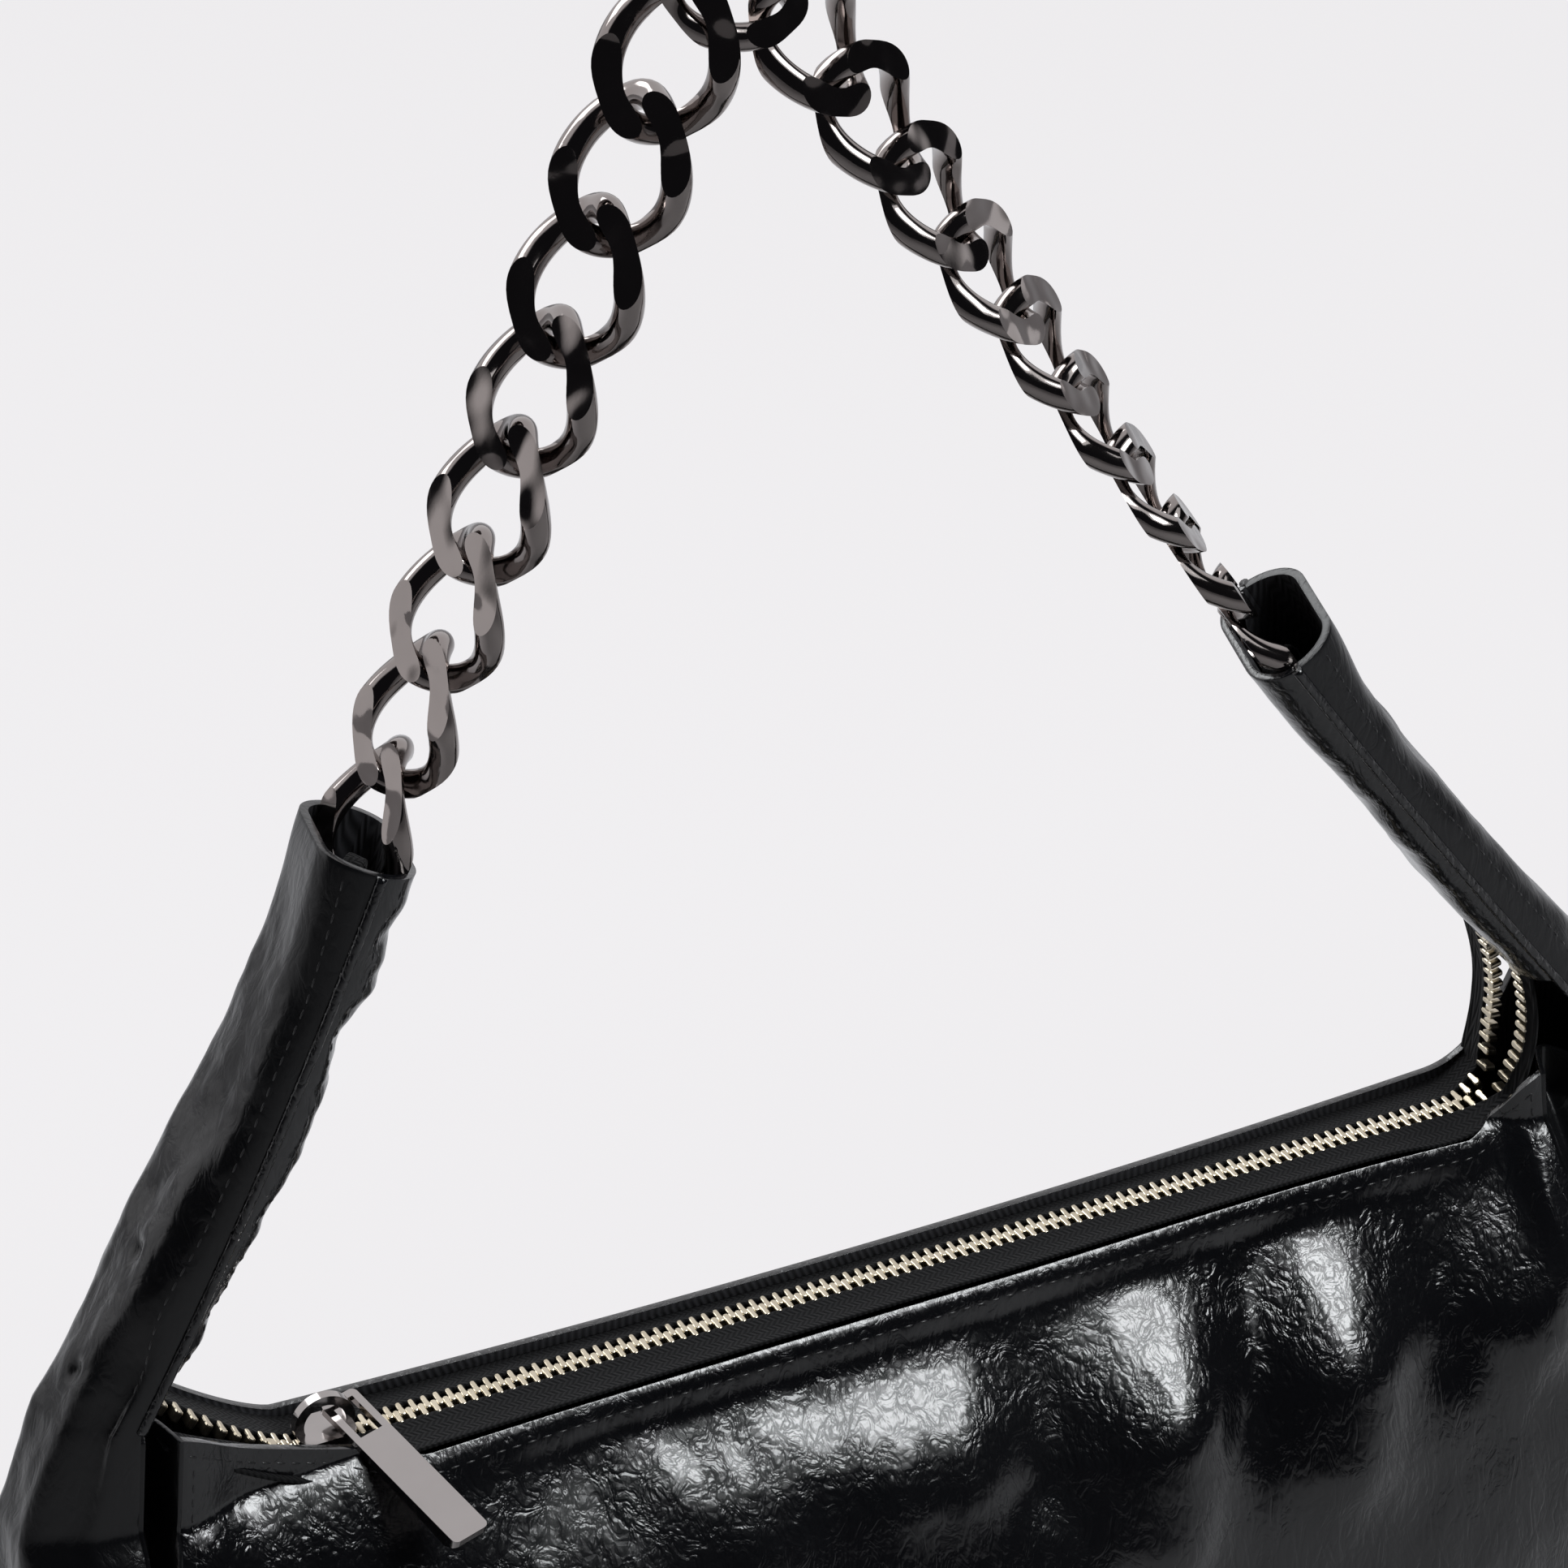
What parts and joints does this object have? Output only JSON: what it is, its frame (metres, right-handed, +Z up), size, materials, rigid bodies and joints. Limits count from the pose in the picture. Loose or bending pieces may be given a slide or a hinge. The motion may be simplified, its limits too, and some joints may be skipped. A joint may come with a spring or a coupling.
{
  "type": "chain shoulder bag",
  "caption": "Soft zip-top shoulder bag in crinkled black leather, its end gussets drawn up into two tabs that take the ends of a heavy twisted curb-link chain.",
  "frame": {"origin": "middle of the chain's top link, the point the bag hangs from", "axes": "+X along the zip from its slider, +Y to the back panel, +Z up"},
  "size_m": [0.354, 0.09, 0.4667],
  "materials": {
    "chain_metal": "polished gunmetal plating",
    "black_leather": "glossy crinkled black",
    "lining_fabric": "matt twill",
    "strap_webbing": "matt webbing",
    "tape_fabric": "herringbone",
    "teeth_brass": "pale antique",
    "stiffener": "matt board",
    "zip_metal": "pale gunmetal"
  },
  "bodies": {
    "chain_top": {"link_top": "chain_metal"},
    "chain_row_1": {"link_left_1": "chain_metal", "link_right_1": "chain_metal"},
    "chain_row_2": {"link_left_2": "chain_metal", "link_right_2": "chain_metal"},
    "chain_row_3": {"link_left_3": "chain_metal", "link_right_3": "chain_metal"},
    "chain_row_4": {"link_left_4": "chain_metal", "link_right_4": "chain_metal"},
    "chain_row_5": {"link_left_5": "chain_metal", "link_right_5": "chain_metal"},
    "chain_row_6": {"link_left_6": "chain_metal", "link_right_6": "chain_metal"},
    "chain_row_7": {"link_left_7": "chain_metal", "link_right_7": "chain_metal"},
    "chain_row_8": {"link_left_8": "chain_metal", "link_right_8": "chain_metal"},
    "bag": {"link_right_9": "chain_metal", "front_panel": "black_leather", "back_panel": "black_leather", "left_gusset": "black_leather", "right_gusset": "black_leather", "base_panel": "black_leather", "left_tab_outer": "black_leather", "left_tab_inner": "black_leather", "right_tab_outer": "black_leather", "right_tab_inner": "black_leather", "lining_front": "lining_fabric", "lining_back": "lining_fabric", "lining_left": "lining_fabric", "lining_right": "lining_fabric", "left_chain_anchor": "strap_webbing", "right_chain_anchor": "strap_webbing", "zip_tape_front": "tape_fabric", "zip_tape_back": "tape_fabric", "zip_teeth_front": "teeth_brass", "zip_teeth_back": "teeth_brass", "zip_end_stops": "teeth_brass", "base_board": "stiffener"},
    "zip_slider": {"zip_slider": "zip_metal"},
    "zip_puller": {"zip_puller": "zip_metal"}
  },
  "joints": [
    {"name": "chain_bend_1", "type": "hinge", "parent": "chain_top", "child": "chain_row_1", "pos_m": [-0.008, -0.002, -0.001], "axis": [0.9831, 0.0578, -0.1735], "range_deg": [-4, 4]},
    {"name": "chain_bend_2", "type": "hinge", "parent": "chain_row_1", "child": "chain_row_2", "pos_m": [-0.01614, -0.002, -0.01927], "axis": [0.999, 0.0275, -0.0366], "range_deg": [-15, 15]},
    {"name": "chain_bend_3", "type": "hinge", "parent": "chain_row_2", "child": "chain_row_3", "pos_m": [-0.02427, -0.002, -0.03754], "axis": [0.9998, 0.018, 0.0061], "range_deg": [-15, 15]},
    {"name": "chain_bend_4", "type": "hinge", "parent": "chain_row_3", "child": "chain_row_4", "pos_m": [-0.0324, -0.002, -0.05581], "axis": [0.9996, 0.0134, 0.0269], "range_deg": [-15, 15]},
    {"name": "chain_bend_5", "type": "hinge", "parent": "chain_row_4", "child": "chain_row_5", "pos_m": [-0.04054, -0.002, -0.07408], "axis": [0.9992, 0.0106, 0.0391], "range_deg": [-15, 15]},
    {"name": "chain_bend_6", "type": "hinge", "parent": "chain_row_5", "child": "chain_row_6", "pos_m": [-0.04867, -0.002, -0.09236], "axis": [0.9988, 0.0088, 0.0471], "range_deg": [-15, 15]},
    {"name": "chain_bend_7", "type": "hinge", "parent": "chain_row_6", "child": "chain_row_7", "pos_m": [-0.05681, -0.002, -0.11063], "axis": [0.9986, 0.0075, 0.0528], "range_deg": [-15, 15]},
    {"name": "chain_bend_8", "type": "hinge", "parent": "chain_row_7", "child": "chain_row_8", "pos_m": [-0.06494, -0.002, -0.1289], "axis": [0.9983, 0.0066, 0.0571], "range_deg": [-15, 15]},
    {"name": "bag_swing", "type": "hinge", "parent": "chain_row_8", "child": "bag", "pos_m": [-0.07308, -0.002, -0.14717], "axis": [0.9982, 0.0058, 0.0604], "range_deg": [-4, 5]},
    {"name": "zip_travel", "type": "slide", "parent": "bag", "child": "zip_slider", "axis": [1, 0, 0], "range_m": [0, 0.224]},
    {"name": "puller_lift", "type": "hinge", "parent": "zip_slider", "child": "zip_puller", "pos_m": [-0.07948, 0.00205, -0.26186], "axis": [-0.9511, -0.309, 0], "range_deg": [0, 26]}
  ]
}
